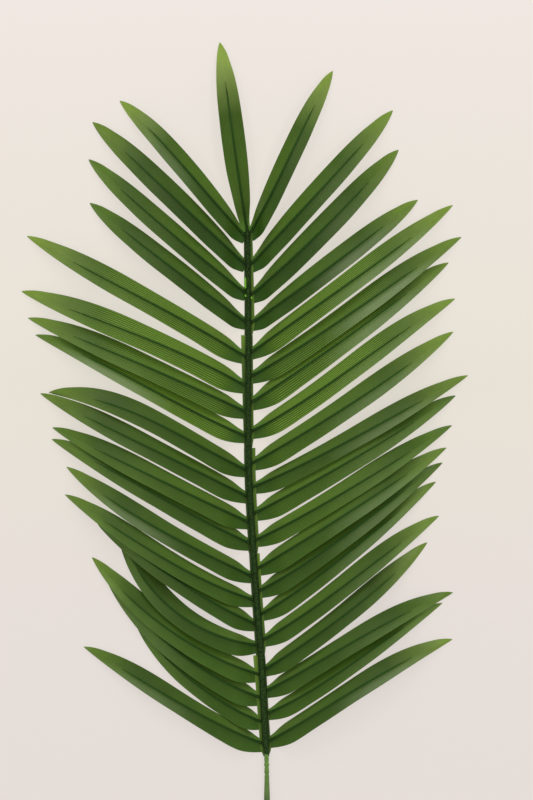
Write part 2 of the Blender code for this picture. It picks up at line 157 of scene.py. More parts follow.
def add_floor():
    mesh = bpy.data.meshes.new("floor")
    corners = [(x * FLOOR_HALF, y * FLOOR_HALF, 0) for x, y in ((-1, -1), (1, -1), (1, 1), (-1, 1))]
    mesh.from_pydata(corners, [], [(0, 1, 2, 3)])
    floor = add_object("floor", mesh)
    floor.location = (0, 0, -FLOOR_DROP * MM)
    made, tree, shader = new_material("matt_light_table")
    place = add_node(tree, "TexCoord", output="Object")
    up = add_node(tree, "SeparateXYZ", {0: place}, output="Y")
    glow = add_node(tree, "ValToRGB", {"Fac": up}, stops=GLOW_UP_THE_LEAF)
    set_inputs(tree, shader, {"Base Color": linear("#6f6c69"), "Emission Color": glow,
                              "Emission Strength": TABLE_GLOW, "Roughness": 0.9,
                              "Specular IOR Level": 0.1})
    mesh.materials.append(made)
    return floor


print("floor", add_floor().name)

# %% [markdown]
# ## Soft boxes
#
# A broad light far behind the leaf's tip comes in low and brightens the half of each leaflet that
# faces the tip. Two soft boxes hang left and right of the camera. They are narrow, and a leaflet
# mirrors one of them only where it bends down to its tip, which is the pale sheen there.

# %% Soft boxes
# Name, place and length of the level and the steep edge in metres, watts and colour of each.
SOFT_BOXES = (("tip_side_light", (-0.4, 3.6, 1.9), 3.2, 1.8, 62, "#fffdf8"),
              ("left_box", (-1.05, 0.24, 2.2), 1.1, 0.3, 9, "#fffefb"),
              ("right_box", (1.05, 0.24, 2.2), 1.1, 0.3, 12, "#fffefb"))


def add_soft_box(name, place, level, steep, watts, colour):
    """A light with one level edge and one steep edge that faces the middle of the picture."""
    light = bpy.data.lights.new(name, "AREA")
    light.shape = "RECTANGLE"
    light.size = level
    light.size_y = steep
    light.energy = watts
    light.color = linear(colour)[:3]
    made = add_object(name, light)
    made.location = place
    towards = camera.location.copy()
    towards.z = 0
    made.rotation_euler = (towards - made.location).to_track_quat("-Z", "Y").to_euler()
    made.visible_camera = False


for soft_box in SOFT_BOXES:
    add_soft_box(*soft_box)
print("lights", [light.name for light in bpy.data.lights])

# %% [markdown]
# ## The room
#
# The rest of the room is a bright ring along the horizon under a darker ceiling. Light from the ring
# comes in from all sides and fills the shadows. The level parts of the leaf mirror only the ceiling,
# so they keep their deep green. The ring is a colour ramp over the height of the direction.

# %% Room
ROOM_COLOURS = ((0.0, "#f4efea"), (0.45, "#f4efea"), (0.72, "#adaba8"), (1.0, "#a5a3a0"))

world = bpy.data.worlds.new("studio")
world.use_nodes = True
room = world.node_tree
direction = add_node(room, "TexCoord", output="Generated")
height = add_node(room, "SeparateXYZ", {0: direction}, output="Z")
room_colour = add_node(room, "ValToRGB", {"Fac": height}, stops=ROOM_COLOURS)
set_inputs(room, room.nodes["Background"], {"Color": room_colour})
bpy.context.scene.world = world
bpy.context.scene.view_settings.view_transform = "Standard"
print("room", world.name)

# %% [markdown]
# ## The plan of the leaf
#
# Every leaflet is described by a few sizes: where its root sits up the midrib, how far its tip
# reaches sideways and up the leaf, how its line bows, how wide it is and how high it arches. They
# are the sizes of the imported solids, so that each fine piece lies exactly on its solid. The midrib
# is a smooth curve through a few points.

# %% Midrib and leaflets
MIDRIB = ((-205, 1), (-60, 0.5), (-5, 0), (35, -2), (83, -4.5), (147, -9.5), (200, -13),
          (252, -16), (300, -17), (360, -17), (420, -17), (500, -18))
BLADE_FOOT, BLADE_TOP = -4.0, 489.0
JOINTS = (392.0, 286.0, 187.0, 91.0)  # where one panel stops and the next begins
JOINT_GAP = 0.04
PAIRS = 4  # pairs of leaflets on a panel
PANELS = len(JOINTS) + 1
LAST_PANEL = PANELS - 1

Leaflet = namedtuple("Leaflet", "root reach climb bow early width arch even", defaults=(0.85,))
LEFT = tuple(Leaflet(*row) for row in (
    (483, 120, 129, 1.5, -2.5, 20, 20), (457, 146, 135, -0.5, -1, 22, 20),
    (430, 150, 127, -3, 0, 21, 19), (403, 149, 113, -2, 0, 21, 18),
    (370, 208, 115, 1, 2.5, 22, 22), (343, 213, 90, 4.5, 2, 24, 22),
    (319, 207, 89, 2, 0, 22, 20), (296, 200, 96, 1.5, -4, 21, 15),
    (264, 188, 74, 11, -7, 21.5, 24), (239, 197, 98, 0.5, 1, 21, 23),
    (215, 187, 90, 0, 0, 21.5, 24), (195, 189, 99, 0, -2, 22, 20),
    (164, 177, 104, -5.5, 2, 20.5, 22), (142, 180, 100, -6, -3, 20, 22.5),
    (119, 151, 95, -4, -1, 20.5, 17), (100, 134, 107, -24, 0, 22, 14, 0.65),
    (72, 160, 111, -14, 0, 22, 10.5, 0.5), (50, 149, 116, -14, 0, 23, 5.8, 0.5),
    (27, 120, 91, -9, 0, 21, 2.8, 0.5), (7, 171, 92, -3, -3, 20, 7)))
RIGHT = tuple(Leaflet(*row) for row in (
    (484, 80, 156, -1, -2, 19.5, 20), (456, 136, 147, -1.5, 0, 21.5, 20),
    (428, 141, 138, -4, -1, 23, 20), (402, 159, 117, -2, -1, 21.5, 21),
    (374, 192, 140, -2, 1, 21.5, 24), (352, 200, 132, -2.5, -2.5, 22.5, 21),
    (327, 188, 133, -2, -1, 24, 18), (300, 194, 126, -1.5, -5, 22, 19),
    (270, 192, 125, -4, 0, 22, 20), (248, 205, 106, -2.5, -2, 20, 20),
    (223, 192, 112, -2.5, 0, 22.5, 19), (198, 187, 109, -2.5, -1, 20.5, 21.5),
    (171, 180, 115, -1, 0, 22, 22), (150, 175, 122, -3, -2.5, 21, 17.5),
    (128, 167, 126, -3, -2.5, 20, 13), (104, 168, 118, -1.5, -3, 20.5, 15),
    (76, 155, 121, -5, 1.5, 20.5, 15), (56, 178, 94, 4, -3, 20.5, 16),
    (35, 167, 105, -2, -4, 19, 12), (9, 175, 97, 4, -3.5, 20.5, 13)))
TERMINAL = Leaflet(489, 26, 178, -0.5, -0.5, 21.5, 16)


def smooth(value):
    """Ease from 0 to 1 as the value goes from 0 to 1."""
    value = np.clip(value, 0.0, 1.0)
    return value * value * (3 - 2 * value)


def curve(points, places):
    """Values at places on a smooth curve through (place, value) points."""
    points = np.asarray(points, float)
    places = np.asarray(places, float)
    last = len(points) - 2
    i = np.clip(np.searchsorted(points[:, 0], places) - 1, 0, last)
    before, one, two = points[np.maximum(i - 1, 0)], points[i], points[i + 1]
    after = points[np.minimum(i + 2, last + 1)]
    span = two[..., 0] - one[..., 0]
    slope1 = (two[..., 1] - before[..., 1]) / (two[..., 0] - before[..., 0]) * span
    slope2 = (after[..., 1] - one[..., 1]) / (after[..., 0] - one[..., 0]) * span
    t = (places - one[..., 0]) / span
    return ((2 * t ** 3 - 3 * t ** 2 + 1) * one[..., 1] + (t ** 3 - 2 * t ** 2 + t) * slope1
            + (3 * t ** 2 - 2 * t ** 3) * two[..., 1] + (t ** 3 - t ** 2) * slope2)


def midrib_x(y):
    """Sideways place of the midrib at distances up the leaf."""
    return curve(MIDRIB, y)


def panel_leaflets(number):
    """The leaflets of a panel with their side, -1 left or 1 right."""
    pairs = range(number * PAIRS, (number + 1) * PAIRS)
    chosen = [(table[pair], side) for pair in pairs for table, side in ((LEFT, -1), (RIGHT, 1))]
    return chosen + ([(TERMINAL, -1)] if number == 0 else [])


def panel_span(number):
    """Lower and upper end of a panel along the midrib."""
    ends = (BLADE_TOP, *JOINTS, BLADE_FOOT)
    low = ends[number + 1] + JOINT_GAP / 2 * (number < LAST_PANEL)
    return low, ends[number] - JOINT_GAP / 2 * (number > 0)


print("leaflets", sum(len(panel_leaflets(number)) for number in range(PANELS)))

# %% [markdown]
# ## How a leaflet is shaped
#
# A leaflet is folded along its rib like a low roof, and the press makes that fold sharpest near
# the rib. It arches up from the midrib and down to its tip, and it leans a little, so that its lower
# edge rides over the next leaflet. Its outline starts at a narrow neck, has an angular
# shoulder and ends in a long taper. All of this is a few formulas of two numbers: the share of the
# length, from root to tip, and the place across, from -1 at the lower edge to 1 at the upper one.

# %% Shape of a leaflet
FLAT_ROOT = 5.0  # how far from the midrib a leaflet stays flat
FOLD = 3.2  # height of the folded rib line above the edges
FOLD_SHARP = 1.45  # 1 is a straight roof, and more is a fold that is sharpest at the rib
FOLD_LEFT = 0.15  # share of the fold that is left at the tip
TWIST = 1.8  # how far the lower edge is raised, and the upper one lowered
FOLD_IN, FOLD_OUT = 0.1, (0.6, 0.4)  # shares of the way out over which the fold sets in and dies out
TWIST_IN, TWIST_OUT = 0.08, (0.7, 0.3)
LEAFLET_FLOOR = 0.02  # lowest place of a leaflet
SIDE_FLOOR = 0.03  # a right leaflet is this much higher, and a left one twice as much
TIP_HALF = 0.35  # least half width
ARCH_IN = 0.14  # share of the length over which the arch sets in
TIP_FROM, TIP_ROUND = 0.95, 0.7  # where the rounded tip starts, and how round it is: 0.5 is an ellipse

# Half width at these shares of the length, over half the leaflet's width: first on the side of the
# leaf's tip, then on the side of the stem.
SHARES = (0.0, 0.05, 0.1, 0.15, 0.22, 0.32, 0.45, 0.6, 0.72, 0.82, 0.9, 0.95, 1.0)
BROAD = ((0.3, 0.39, 0.6, 0.7, 0.77, 0.85, 0.96, 1.08, 1.06, 0.9, 0.64, 0.43, 0.03),
         (0.6, 0.98, 1.19, 1.2, 1.13, 1.07, 0.98, 0.9, 0.75, 0.57, 0.38, 0.23, 0.03))
SLENDER = ((0.3, 0.32, 0.46, 0.64, 0.79, 0.93, 1.02, 1.03, 0.98, 0.84, 0.61, 0.42, 0.03),
           (0.7, 1.06, 1.1, 1.1, 1.1, 1.05, 1.0, 0.96, 0.85, 0.72, 0.52, 0.33, 0.03))
TIP_LEAFLET = (SLENDER[0], (0.4, 0.56, 0.68, 0.77, 0.87, 1.0, 1.03, 0.98, 0.9, 0.74, 0.53, 0.34, 0.03))
FOOT_LEAFLET = (BROAD[0], (0.75, 1.15, 1.4, 1.42, 1.32, 1.18, 1.03, 0.91, 0.75, 0.57, 0.38, 0.23, 0.03))


def outline_of(leaf):
    """Upper and lower outline: the leaflets near the leaf's tip are slender, and the lowest bulges."""
    if leaf is TERMINAL:
        return TIP_LEAFLET
    if leaf is LEFT[-1]:
        return FOOT_LEAFLET
    return SLENDER if leaf in LEFT[:4] or leaf in RIGHT[:4] else BROAD


def half_width(leaf, t, outline):
    """Half width of one side of a leaflet at shares of the length."""
    body = curve(tuple(zip(SHARES, outline)), np.minimum(t, TIP_FROM))
    tip = np.clip((1 - t) / (1 - TIP_FROM), 0, 1) ** TIP_ROUND
    return np.maximum(body * tip * leaf.width / 2, TIP_HALF)


def rib_line(leaf, side, t):
    """Points of the rib line in plan."""
    length = math.hypot(leaf.reach, leaf.climb)
    along_x, along_y = side * leaf.reach / length, leaf.climb / length
    bow = 4 * t * (1 - t) * (leaf.bow + leaf.early * (1 - 2 * t))
    x = midrib_x(leaf.root) + along_x * length * t - side * along_y * bow
    return x, leaf.root + along_y * length * t + side * along_x * bow


def across(leaf, side, t):
    """Unit directions in plan, square to the rib line, towards the leaf's tip."""
    x1, y1 = rib_line(leaf, side, np.maximum(t - 0.01, 0))
    x2, y2 = rib_line(leaf, side, np.minimum(t + 0.01, 1))
    length = np.hypot(x2 - x1, y2 - y1)
    return -side * (y2 - y1) / length, side * (x2 - x1) / length


def out_distance(leaf, side, x, y):
    """How far a point is from the midrib, or beyond its end."""
    return y - leaf.root if leaf is TERMINAL else side * (x - midrib_x(y))


def underside(leaf, side, x, y, place):
    """Height of the leaflet's underside."""
    floor, most = LEAFLET_FLOOR, leaf.climb
    if leaf is not TERMINAL:
        floor, most = LEAFLET_FLOOR + SIDE_FLOOR * (1 if side > 0 else 2), leaf.reach
    u = np.clip((out_distance(leaf, side, x, y) - FLAT_ROOT) / (most - FLAT_ROOT), 0, 1)
    arch = leaf.arch * np.sin(np.pi * u ** leaf.even) * smooth(u / ARCH_IN)
    fold = FOLD * smooth(u / FOLD_IN) * (1 - (1 - FOLD_LEFT) * smooth((u - FOLD_OUT[0]) / FOLD_OUT[1]))
    twist = TWIST * smooth(u / TWIST_IN) * (1 - smooth((u - TWIST_OUT[0]) / TWIST_OUT[1]))
    roof = (1 - np.abs(place)) ** FOLD_SHARP
    return np.maximum(floor + arch + fold * roof - twist * place, floor)


def leaflet_surface(leaf, side, t, place):
    """Underside of a leaflet on a grid of shares along (t) and places across."""
    x, y = rib_line(leaf, side, t)
    over_x, over_y = across(leaf, side, t)
    half_up, half_down = (half_width(leaf, t, outline) for outline in outline_of(leaf))
    off = np.where(place > 0, place * half_up[:, None], place * half_down[:, None])
    px, py = x[:, None] + over_x[:, None] * off, y[:, None] + over_y[:, None] * off
    return px, py, underside(leaf, side, px, py, place), off


print("longest leaflet", round(max(math.hypot(leaf.reach, leaf.climb) for leaf in LEFT + RIGHT)), "mm")

# %% [markdown]
# ## No two leaflets alike
#
# The dye came out differently on each leaflet, and so does the pale painted sheen, a painted reflection on
# the lower halves, and the eye notices when that is missing. Chance alone would put the yellow tips and the
# painted sheen in the wrong places, so they are listed, each first for the left leaflets and then for the
# right ones, from the leaf's tip down.

# %% Looks of each leaflet
RIPE_TIPS = ((0.7, 0.5, 0.2, 0.1, 0.7, 0.6, 0.5, 0.2, 0.4, 0.4,
              0.1, 0.3, 0.4, 0.3, 0.0, 0.0, 0.4, 0.2, 0.0, 0.3),
             (0.8, 0.6, 0.4, 0.5, 0.7, 0.5, 0.4, 0.6, 0.6, 0.5,
              0.1, 0.1, 0.4, 0.1, 0.4, 0.5, 0.6, 0.3, 0.3, 0.6))
# How much pale painted sheen, a painted reflection, lies on each leaflet's lower half.
PAINTED_SHEEN_AMOUNT = ((0.4, 0.0, 0.0, 0.0, 0.1, 0.0, 0.1, 1.0, 0.0, 0.1,
                0.0, 0.0, 0.6, 0.0, 0.0, 0.0, 0.0, 0.1, 0.0, 0.4),
               (0.0, 0.1, 0.1, 0.7, 0.7, 1.0, 0.7, 0.3, 0.4, 0.5,
                0.1, 0.1, 0.4, 0.3, 0.3, 0.1, 0.0, 0.1, 0.1, 0.6))


def looks_of(leaf):
    """How yellow a leaflet's tip is and how much painted sheen lies on its lower half."""
    if leaf is TERMINAL:
        return 1.0, 0.2
    on_right = leaf in RIGHT
    pair = (RIGHT if on_right else LEFT).index(leaf)
    return RIPE_TIPS[on_right][pair], PAINTED_SHEEN_AMOUNT[on_right][pair]


print("yellowest tips", sum(ripe >= 0.7 for row in RIPE_TIPS for ripe in row), "leaflets")

# %% [markdown]
# ## Pressed fabric
#
# The fabric is thin and has two faces, so a leaflet is a closed sheet: a grid, the same grid one
# thickness higher, and a rim round the edge. A displace modifier could raise the veins, but
# they run along each leaflet and fan in to its tip, so it is simpler to add them to the grid. Each
# half has seven veins, and a vein has four columns of the grid. The grid also remembers where each
# point is on its leaflet, and the material reads that as attributes.

# %% Fabric sheets
FABRIC = 0.42  # thickness of the fabric
VEINS = 7  # pressed veins on each half of a leaflet
VEIN_COLUMNS = 4
VEIN = 0.13  # height of a vein
VEINS_RISE = 0.12  # share of the length over which the veins rise
VEINS_FADE = (0.55, 0.4)  # share of the length from which they fade, and over which
VEIN_LUCK = (0.75, 0.5)  # least share of their height, and what luck adds
PRESS = (0.7, 1.4, 0.9, 0.65, 0.45)  # how deeply each panel was pressed, as a share
# The lower halves' dark colour is painted shade, and this lifts part of it on each panel.
PALE = (0.0, 0.6, 0.7, 0.7, 1.0)  # how pale the lower halves of each panel's leaflets are
RIPPLE = 0.35  # height of the slow waves that a pressed edge keeps
RIPPLES, RIPPLES_IN = 2.3, 0.2  # how many fit along a leaflet, and the share over which they set in
STEPS = 60  # rows of the grid along a leaflet
ROWS_CLOSER = 1.3  # more than 1 crowds them together towards both ends
CLOTH_APART = 50  # luck moves the dye's pattern by up to this, so that no two leaflets match


def sheet_faces(rows, columns):
    """Quads of a closed sheet: underside, top and rim."""
    index = np.arange(rows * columns).reshape(rows, columns)
    lift = rows * columns
    quads = np.stack([index[:-1, :-1], index[:-1, 1:], index[1:, 1:], index[1:, :-1]], -1)
    quads = quads.reshape(-1, 4)
    rim = np.concatenate([index[0, :], index[1:, -1], index[-1, -2::-1], index[-2:0:-1, 0]])
    after = np.roll(rim, -1)
    walls = np.stack([after, rim, rim + lift, after + lift], -1)
    return np.concatenate([quads, quads[:, ::-1] + lift, walls])


def as_points(x, y, z):
    """A list of points from three grids of numbers."""
    return np.stack(np.broadcast_arrays(x, y, z), -1).reshape(-1, 3)


def leaflet_sheet(leaf, side, luck, press, pale):
    """Points, quads and attributes of one leaflet's fabric."""
    half = np.linspace(0, 1, STEPS // 2 + 1) ** ROWS_CLOSER / 2
    t = np.concatenate([half, 1 - half[-2::-1]])
    places = np.linspace(-1, 1, 2 * VEINS * VEIN_COLUMNS + 1)
    x, y, z, off = leaflet_surface(leaf, side, t, places[None, :])
    along = np.repeat(t[:, None], len(places), 1)
    place = np.repeat(places[None, :], len(t), 0)
    dyed_as = np.abs(place) if leaf is TERMINAL else place
    vein = 0.5 - 0.5 * np.cos(2 * np.pi * VEINS * place)
    fade_from, fade_over = VEINS_FADE
    calm = smooth(t / VEINS_RISE) * (1 - smooth((t - fade_from) / fade_over))
    calm = (calm * press * (VEIN_LUCK[0] + VEIN_LUCK[1] * luck))[:, None]
    length = math.hypot(leaf.reach, leaf.climb)
    wave = np.sin(2 * np.pi * (t * RIPPLES + luck)) * smooth(t / RIPPLES_IN)
    ripple = RIPPLE * wave[:, None] * place * np.abs(place)
    top = np.maximum(z + ripple + VEIN * vein * calm, LEAFLET_FLOOR)
    points = np.concatenate([as_points(x, y, top), as_points(x, y, top + FABRIC)])
    ripe, milky = looks_of(leaf)
    facts = {"along": along, "across": dyed_as, "vein": vein * calm}
    evenly = {"ripe": ripe, "milky": milky, "luck": luck, "pale": pale, "strip": 0.0, "bare": 0.0}
    facts.update({name: np.full_like(along, value) for name, value in evenly.items()})
    cloth = as_points(along * length, off, luck * CLOTH_APART)
    return points, sheet_faces(len(t), len(places)), facts, cloth


points, quads, facts, cloth = leaflet_sheet(LEFT[4], -1, 0.5, 1.0, 1.0)
print("one leaflet has", len(points), "points and", len(quads), "quads")

# %% [markdown]
# ## The strip
#
# The strip that carries the leaflets lies flat under the sleeve, and only its two margins show. They
# are wider where a panel was cut square, which the photograph shows as small light corners beside
# the midrib, and the right foot of a panel is cut in at a slant. It is the same kind of sheet as a
# leaflet, with straight rows.

# %% Strips
# Left and right width of each strip, first at its top and then at its foot.
STRIPS = (((3.6, 4.6), (3.8, 5.9)),
          ((7.0, 4.0), (4.2, 5.2)),
          ((4.4, 6.4), (4.6, 5.8)),
          ((4.2, 5.8), (5.0, 5.4)),
          ((7.5, 3.8), (5.4, 4.6)))
# How light each margin is, in the same order: a darker margin has more painted shade beside the sleeve and
# the leaflets.
BARE = (((0.2, 0.5), (0.2, 0.75)),
        ((1.0, 0.3), (0.2, 0.65)),
        ((0.3, 0.7), (0.2, 0.65)),
        ((0.5, 1.0), (0.3, 0.65)),
        ((1.0, 0.45), (0.65, 0.65)))
BARE_FADES = 4  # how soon a strip's light upper end turns dark: 1 is evenly
STRIP_FOOT, STRIP_FOOT_LONG = 0.5, 7.0  # share of its width at the blade's foot, and how far up that fades
CUT, CUT_LONG = 0.35, 10.0  # how far a panel's right foot is cut in, as a share, and over what length
STRIP_TOP = 0.8  # height of the strip's face
STRIP_ROWS, STRIP_COLUMNS = 40, 9


def strip_sheet(number):
    """Points, quads and attributes of a panel's strip."""
    low, high = panel_span(number)
    (top_left, top_right), (foot_left, foot_right) = STRIPS[number]
    y = np.linspace(low, high, STRIP_ROWS)[:, None]
    share = (y - low) / (high - low)
    narrow = STRIP_FOOT + (1 - STRIP_FOOT) * smooth((y - BLADE_FOOT) / STRIP_FOOT_LONG)
    left = (foot_left + (top_left - foot_left) * share) * narrow
    cut = CUT * (1 - np.clip((y - low) / CUT_LONG, 0, 1)) * (number < LAST_PANEL)
    right = (foot_right + (top_right - foot_right) * share) * narrow * (1 - cut)
    place = np.linspace(0, 1, STRIP_COLUMNS)[None, :]
    off = -left + (left + right) * place
    x = midrib_x(y) + off
    points = np.concatenate([as_points(x, y, 0.0), as_points(x, y, STRIP_TOP)])
    flat = np.zeros_like(x)
    bare_top, bare_foot = (np.where(off < 0, *ends) for ends in BARE[number])
    facts = {name: flat for name in ("along", "vein", "ripe", "milky", "pale")}
    facts.update({"across": np.sign(off), "luck": flat + 0.5, "strip": flat + 1,
                  "bare": bare_foot + (bare_top - bare_foot) * share ** BARE_FADES})
    return points, sheet_faces(STRIP_ROWS, STRIP_COLUMNS), facts, as_points(y, off, 0.0)


print("top strip", [round(high_or_low) for high_or_low in panel_span(0)], "mm up the leaf")

# %% [markdown]
# ## Panels
#
# A panel is one mesh: its strip and its leaflets are put in one list of points and one of faces.
# Joining separate objects would give the same mesh, but one list is quicker and keeps the
# attributes together. Luck is drawn for one leaflet after another with a fixed seed, so that each
# run gives the same leaf.

# %% Panels
PANEL_SHARP = 40  # edges sharper than this many degrees stay sharp
SEED = 41


def mesh_object(name, points, faces, smooth_angle):
    """A mesh object from points in millimetres."""
    mesh = bpy.data.meshes.new(name)
    mesh.from_pydata((np.asarray(points) * MM).tolist(), [], [list(map(int, f)) for f in faces])
    mesh.shade_smooth()
    mesh.set_sharp_from_angle(angle=math.radians(smooth_angle))
    return add_object(name, mesh)


def add_attribute(made, name, kind, field, values):
    """Give each point of a mesh a value that its material can read."""
    attribute = made.data.attributes.new(name, kind, "POINT")
    attribute.data.foreach_set(field, values.astype(np.float32).ravel())


def make_panel(number, chance):
    """One pressed panel: its strip and its leaflets."""
    sheets = [strip_sheet(number)]
    for leaf, side in panel_leaflets(number):
        sheets.append(leaflet_sheet(leaf, side, chance.random(), PRESS[number], PALE[number]))
    starts = np.cumsum([0] + [len(points) for points, *_ in sheets[:-1]])
    faces = np.concatenate([quads + start for (_, quads, *_), start in zip(sheets, starts)])
    points = np.concatenate([points for points, *_ in sheets])
    made = mesh_object(f"fabric_panel_{number + 1}", points, faces, PANEL_SHARP)
    for name in sheets[1][2]:
        values = np.concatenate([np.tile(facts[name].ravel(), 2) for _, _, facts, _ in sheets])
        add_attribute(made, name, "FLOAT", "value", values)
    cloth = np.concatenate([np.tile(cloth, (2, 1)) for *_, cloth in sheets])
    add_attribute(made, "cloth", "FLOAT_VECTOR", "vector", cloth)
    return made


chance = np.random.default_rng(SEED)
panels = [make_panel(number, chance) for number in range(PANELS)]
print("quads in each panel", [len(panel.data.polygons) for panel in panels])

# %% [markdown]
# ## The dye, with painted light and shade
#
# Leaf fabric is woven polyester, dyed in several baths. Its colour runs from dark green at the root to
# yellow-green at the tip, and the top leaflets have the yellowest tips. The half of a leaflet that faces
# the leaf's tip is painted lighter, as painted light. The other half is painted darker, as painted shade,
# most of all near the root. Two colour ramps along the leaflet hold the two halves, and a third colour is
# laid over the tip.

# %% Dye of a leaflet
# Both ramps hold dye and painted light and shade: the upper half is painted lighter and the lower half
# darker, most of all near the root.
UPPER_DYE_AND_LIGHT = ((0.0, "#54802a"), (0.1, "#46611f"), (0.25, "#3b5813"), (0.45, "#34510b"),
             (0.65, "#2f4908"), (0.8, "#34500d"), (0.9, "#456319"), (1.0, "#466321"))
LOWER_DYE_AND_SHADE = ((0.0, "#2e5113"), (0.1, "#26450b"), (0.25, "#203d08"), (0.4, "#294312"),
             (0.55, "#384f1f"), (0.7, "#425c23"), (0.85, "#4f6a29"), (1.0, "#577238"))
TIP_DYE = ((0.84, "#7f944a"), (1.0, "#809c38"))
# From the margins' painted shade beside the sleeve and leaflets to their light bare ends.
STRIP_DYE_AND_SHADE = ((0.0, "#2c4713"), (0.5, "#466421"), (1.0, "#6a8a2b"))
PALE_SHARE = 0.35  # how much of the pale green goes into the palest lower half
HALVES_BLUR = 5.0  # how sharply the two halves part at the rib
# How fast a tip yellows along the leaflet, from where, and what the ripest ones add.
TIP_STEEP, TIP_START, TIP_LONGER = 3.2, -2.45, 0.5


def dye_and_shade_colour(node, fact):
    """Colour of the dye on a leaflet, with painted light on one half and painted shade on the other."""
    upper = node("ValToRGB", {"Fac": fact["along"]}, stops=UPPER_DYE_AND_LIGHT)
    lower = node("ValToRGB", {"Fac": fact["along"]}, stops=LOWER_DYE_AND_SHADE)
    # Lift part of the lower half's painted shade by mixing in a paler green.
    pale = node("Math", {0: fact["pale"], 1: PALE_SHARE}, operation="MULTIPLY")
    lower = node("Mix", {0: pale, 6: lower, 7: linear("#4a6b1d")}, **COLOUR_MIX)
    # The two halves part at the rib: the lighter one with painted light, the darker one with painted shade.
    half = node("Math", {0: fact["across"], 1: HALVES_BLUR, 2: 0.5}, operation="MULTIPLY_ADD",
                use_clamp=True)
    colour = node("Mix", {0: half, 6: lower, 7: upper}, **COLOUR_MIX)

    # Yellow-green tips, longest on the leaflets that have most of it.
    longer = node("Math", {0: fact["ripe"], 1: TIP_LONGER, 2: TIP_START}, operation="MULTIPLY_ADD")
    at_tip = node("Math", {0: fact["along"], 1: TIP_STEEP, 2: longer}, operation="MULTIPLY_ADD",
                  use_clamp=True)
    yellow = node("Math", {0: at_tip, 1: fact["ripe"]}, operation="MULTIPLY")
    tip = node("ValToRGB", {"Fac": fact["along"]}, stops=TIP_DYE)
    return node("Mix", {0: yellow, 6: colour, 7: tip}, **COLOUR_MIX)


print("dye at the root, upper half:", UPPER_DYE_AND_LIGHT[0][1], "and lower half:", LOWER_DYE_AND_SHADE[0][1])

# %% [markdown]
# ## Wear of the dye and veins, and painted sheen
#
# Dye never takes evenly. It leaves fine streaks along the threads and soft clouds across them, and the
# backs of the veins are drawn lighter and yellower. A pale painted sheen, a painted reflection, lies on the
# outer part of some lower halves. Each of these is a small change to the colour that came before it.

# %% Streaks, veins and painted sheen
STREAK = 1.1  # width of the streaks in the dye, in mm
STREAK_LONG = 0.06  # a streak's width over its length
CLOUD = 14.0  # width of the clouds in the dye, in mm
# Where along a leaflet the painted sheen lies.
PAINTED_SHEEN_ALONG = ((0.33, "#000000"), (0.55, "#ffffff"), (0.72, "#ffffff"), (0.9, "#000000"))
# Share and offset for: the streaks, the clouds and the luck in how dark a leaflet is.
STREAK_SHADE, CLOUD_SHADE, LUCK_SHADE = (0.34, 0.83), (0.3, 0.85), (0.16, 0.92)
VEIN_SHARP, VEIN_LIGHTER = 2.0, 0.45  # how narrow a vein's light back is, and how light
# In the next two lines, the resin and its milky colour are the painted sheen.
SHEEN_ACROSS, SHEEN_FROM = -2.6, -0.25  # how fast the resin sets in across a lower half, and from where
SHEEN_MOST = 0.42  # share of the milky colour where it is strongest


def streaks_of(node, cloth):
    """Fine noise, drawn out along the leaflet."""
    stretched = node("Mapping", {"Vector": cloth, "Scale": (STREAK_LONG, 1.0, 1.0)})
    return node("TexNoise", {"Vector": stretched, "Scale": 1 / STREAK, "Detail": 3.0}, output="Fac")


def wear_and_sheen_colour(node, fact, cloth, streaks, colour):
    """The dye with its streaks, clouds and veins, and the painted sheen over it."""
    clouds = node("TexNoise", {"Vector": cloth, "Scale": 1 / CLOUD, "Detail": 2.0}, output="Fac")
    shades = ((streaks, STREAK_SHADE), (clouds, CLOUD_SHADE), (fact["luck"], LUCK_SHADE))
    parts = [node("Math", {0: value, 1: share, 2: offset}, operation="MULTIPLY_ADD")
             for value, (share, offset) in shades]
    shade = node("Math", {0: parts[0], 1: parts[1]}, operation="MULTIPLY")
    shade = node("Math", {0: shade, 1: parts[2]}, operation="MULTIPLY")
    tint = node("CombineColor", {0: shade, 1: shade, 2: shade})
    colour = node("Mix", {0: 1.0, 6: colour, 7: tint}, blend_type="MULTIPLY", **COLOUR_MIX)
    # The backs of the veins are drawn lighter and yellower.
    back = node("Math", {0: fact["vein"], 1: VEIN_SHARP}, operation="POWER")
    back = node("Math", {0: back, 1: VEIN_LIGHTER}, operation="MULTIPLY", use_clamp=True)
    colour = node("Mix", {0: back, 6: colour, 7: linear("#6c8f2a")}, **COLOUR_MIX)

    # The painted sheen is strongest at the edge of the lower half.
    outer = node("ValToRGB", {"Fac": fact["along"]}, stops=PAINTED_SHEEN_ALONG)
    edge = node("Math", {0: fact["across"], 1: SHEEN_ACROSS, 2: SHEEN_FROM}, operation="MULTIPLY_ADD",
                use_clamp=True)
    sheen_mask = node("Math", {0: outer, 1: edge}, operation="MULTIPLY")
    most = node("Math", {0: fact["milky"], 1: SHEEN_MOST}, operation="MULTIPLY")
    sheen_mask = node("Math", {0: sheen_mask, 1: most}, operation="MULTIPLY")
    # Lay the pale grey-green painted sheen, a painted reflection, over the colour.
    return node("Mix", {0: sheen_mask, 6: colour, 7: linear("#8f9f7c")}, **COLOUR_MIX)


print("streaks of", STREAK, "mm and clouds of", CLOUD, "mm")

# %% [markdown]
# ## Polyester fabric, dyed and pressed
#
# The fabric was pressed hot between dies with a thin resin that makes it stiff and a little glossy,
# so it has the index of refraction of polyester resin, 1.46 here, and a middling roughness. The outer
# half of a leaflet came out of the press smoother than its root. The threads are 0.25 mm apart, too
# fine to show, so the weave is drawn four times as coarse, as two sets of waves that cross on the
# bias.

